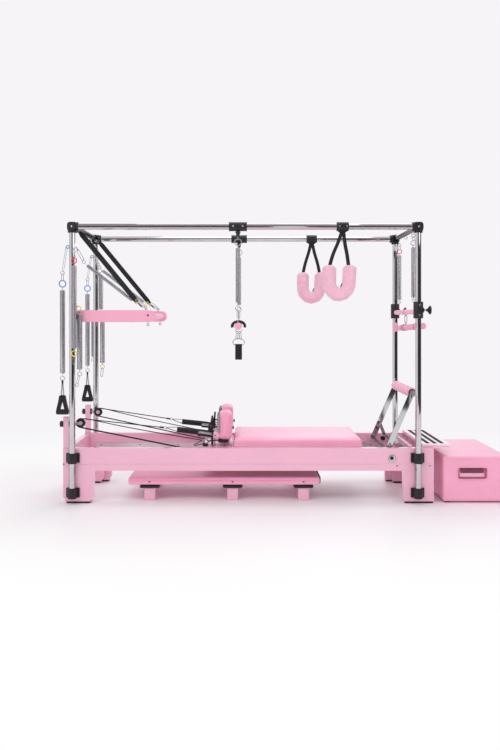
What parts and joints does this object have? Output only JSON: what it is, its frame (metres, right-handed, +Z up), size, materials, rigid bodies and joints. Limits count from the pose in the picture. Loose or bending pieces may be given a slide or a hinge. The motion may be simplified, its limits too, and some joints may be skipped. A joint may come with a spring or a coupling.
{
  "type": "combo pilates reformer",
  "caption": "Pilates bed with a sprung rolling carriage, ropes and footbar under a tube canopy that carries a push-through bar, trapeze, loops and springs, with a sitting box and a mat.",
  "frame": {"origin": "middle of the whole object's box, on the floor", "axes": "+X towards the foot end, +Y towards the back side, +Z up"},
  "size_m": [2.895, 0.833, 1.794],
  "materials": {
    "painted_frame": "smooth light pink paint",
    "track_aluminium": "satin anodised",
    "platform_top": "fine texture with black grip strips",
    "chrome_tube": "bright polished",
    "black_fitting": "satin black",
    "spring_steel": "bright zinc",
    "pink_vinyl": "fine-grained upholstery vinyl",
    "pink_foam": "matt closed-cell foam",
    "pink_fleece": "fluffy fleece",
    "black_webbing": "woven webbing and braided rope"
  },
  "bodies": {
    "frame": {"side_frame_front": "painted_frame", "side_frame_back": "painted_frame", "head_board": "painted_frame", "foot_board": "painted_frame", "track_front": "track_aluminium", "track_back": "track_aluminium", "standing_platform": "platform_top", "upright_head_front": "chrome_tube", "upright_head_back": "chrome_tube", "upright_foot_front": "chrome_tube", "upright_foot_back": "chrome_tube", "top_rail_front": "chrome_tube", "top_rail_back": "chrome_tube", "cross_tube_head": "chrome_tube", "cross_tube_foot": "chrome_tube", "elbow_head_front": "black_fitting", "elbow_head_back": "black_fitting", "elbow_foot_front": "black_fitting", "elbow_foot_back": "black_fitting", "bracket_head_front": "black_fitting", "bracket_head_back": "black_fitting", "bracket_foot_front": "black_fitting", "bracket_foot_back": "black_fitting", "riser_front": "painted_frame", "riser_back": "painted_frame", "spring_bar": "painted_frame", "carriage_springs": "spring_steel", "strap_front": "black_webbing", "strap_back": "black_webbing", "diagonal_spring_front": "spring_steel", "diagonal_spring_back": "spring_steel", "rope_front": "black_webbing", "rope_back": "black_webbing"},
    "carriage": {"carriage_base": "painted_frame", "carriage_pad": "pink_vinyl", "shoulder_rest_front": "pink_vinyl", "shoulder_rest_back": "pink_vinyl"},
    "wheels_head": {"wheel_set_head": "black_fitting"},
    "wheels_foot": {"wheel_set_foot": "black_fitting"},
    "pulley_front": {"pulley_front": "black_fitting"},
    "pulley_back": {"pulley_back": "black_fitting"},
    "footbar": {"footbar": "chrome_tube", "footbar_foam": "pink_foam"},
    "strut": {"footbar_strut": "spring_steel"},
    "push_bar": {"push_bar": "painted_frame"},
    "handle_front": {"handle_spring_front": "spring_steel"},
    "handle_back": {"handle_spring_back": "spring_steel"},
    "collars": {"collar_bar": "black_fitting"},
    "roll_down": {"roll_down_bar": "pink_foam"},
    "foot_spring_front": {"foot_spring_front": "spring_steel"},
    "foot_spring_back": {"foot_spring_back": "spring_steel"},
    "trapeze_sliders": {"trapeze_slider_front": "black_fitting", "trapeze_slider_back": "black_fitting"},
    "trapeze": {"trapeze_spring_front": "spring_steel", "trapeze_spring_back": "spring_steel", "trapeze_bar": "pink_foam"},
    "foot_loop_front": {"foot_loop_front": "pink_fleece"},
    "foot_loop_back": {"foot_loop_back": "pink_fleece"},
    "sitting_box": {"sitting_box": "pink_vinyl"},
    "mat": {"mat": "pink_vinyl"}
  },
  "joints": [
    {"name": "carriage_slide", "type": "slide", "parent": "frame", "child": "carriage", "axis": [-1, 0, 0], "range_m": [0, 0.7], "deforming": ["carriage_springs", "rope_front", "rope_back"]},
    {"name": "wheels_head_roll", "type": "hinge", "parent": "carriage", "child": "wheels_head", "pos_m": [-0.4475, 0, 0.2423], "axis": [0, -1, 0], "range_deg": [0, 2010]},
    {"name": "wheels_foot_roll", "type": "hinge", "parent": "carriage", "child": "wheels_foot", "pos_m": [0.4375, 0, 0.2423], "axis": [0, -1, 0], "range_deg": [0, 2010]},
    {"name": "pulley_front_spin", "type": "hinge", "parent": "frame", "child": "pulley_front", "pos_m": [-1.3125, -0.285, 0.505], "axis": [0, 1, 0], "range_deg": [0, 1340]},
    {"name": "pulley_back_spin", "type": "hinge", "parent": "frame", "child": "pulley_back", "pos_m": [-1.3125, 0.285, 0.505], "axis": [0, 1, 0], "range_deg": [0, 1340]},
    {"name": "footbar_fold", "type": "hinge", "parent": "frame", "child": "footbar", "pos_m": [0.6725, 0, 0.325], "axis": [0, 1, 0], "range_deg": [-38, 40]},
    {"name": "strut_turn", "type": "hinge", "parent": "footbar", "child": "strut", "pos_m": [0.7175, 0, 0.429], "axis": [0, 1, 0], "range_deg": [-21, 20]},
    {"name": "push_bar_swing", "type": "hinge", "parent": "frame", "child": "push_bar", "pos_m": [-1.3025, 0, 1.197], "axis": [0, -1, 0], "range_deg": [0, 40], "deforming": ["strap_front", "strap_back", "diagonal_spring_front", "diagonal_spring_back"]},
    {"name": "handle_front_swing", "type": "hinge", "parent": "frame", "child": "handle_front", "pos_m": [-1.4095, -0.3725, 1.48], "axis": [0, 1, 0], "range_deg": [0, 25]},
    {"name": "handle_back_swing", "type": "hinge", "parent": "frame", "child": "handle_back", "pos_m": [-1.4095, 0.3725, 1.48], "axis": [0, 1, 0], "range_deg": [0, 25]},
    {"name": "collar_height", "type": "slide", "parent": "frame", "child": "collars", "axis": [0, 0, 1], "range_m": [-0.3, 0.02]},
    {"name": "roll_down_swing", "type": "hinge", "parent": "collars", "child": "roll_down", "pos_m": [0.8515, 0, 1.235], "axis": [0, 1, 0], "range_deg": [-20, 20]},
    {"name": "foot_spring_front_swing", "type": "hinge", "parent": "frame", "child": "foot_spring_front", "pos_m": [0.8335, -0.31, 1.765], "axis": [0, 1, 0], "range_deg": [-15, 15]},
    {"name": "foot_spring_back_swing", "type": "hinge", "parent": "frame", "child": "foot_spring_back", "pos_m": [0.8715, 0.31, 1.765], "axis": [0, 1, 0], "range_deg": [-15, 15]},
    {"name": "trapeze_slide", "type": "slide", "parent": "frame", "child": "trapeze_sliders", "axis": [1, 0, 0], "range_m": [-0.25, 0.15]},
    {"name": "trapeze_swing", "type": "hinge", "parent": "trapeze_sliders", "child": "trapeze", "pos_m": [-0.2945, 0, 1.7], "axis": [0, 1, 0], "range_deg": [-20, 20]},
    {"name": "foot_loop_front_swing", "type": "hinge", "parent": "frame", "child": "foot_loop_front", "pos_m": [0.3705, -0.3725, 1.765], "axis": [1, 0, 0], "range_deg": [-30, 30]},
    {"name": "foot_loop_back_swing", "type": "hinge", "parent": "frame", "child": "foot_loop_back", "pos_m": [0.2375, 0.3725, 1.765], "axis": [1, 0, 0], "range_deg": [-30, 30]},
    {"name": "sitting_box_slide", "type": "slide", "parent": "frame", "child": "sitting_box", "axis": [1, 0, 0], "range_m": [0, 0.3]},
    {"name": "mat_slide", "type": "slide", "parent": "frame", "child": "mat", "axis": [0, -1, 0], "range_m": [0, 0.65]}
  ],
  "couplings": [
    {"joint": "wheels_head_roll", "follows": "carriage_slide", "rad_per_m": 50},
    {"joint": "wheels_foot_roll", "follows": "carriage_slide", "rad_per_m": 50},
    {"joint": "pulley_front_spin", "follows": "carriage_slide", "rad_per_m": 33.333},
    {"joint": "pulley_back_spin", "follows": "carriage_slide", "rad_per_m": 33.333},
    {"joint": "strut_turn", "follows": "footbar_fold", "ratio": -0.5}
  ]
}
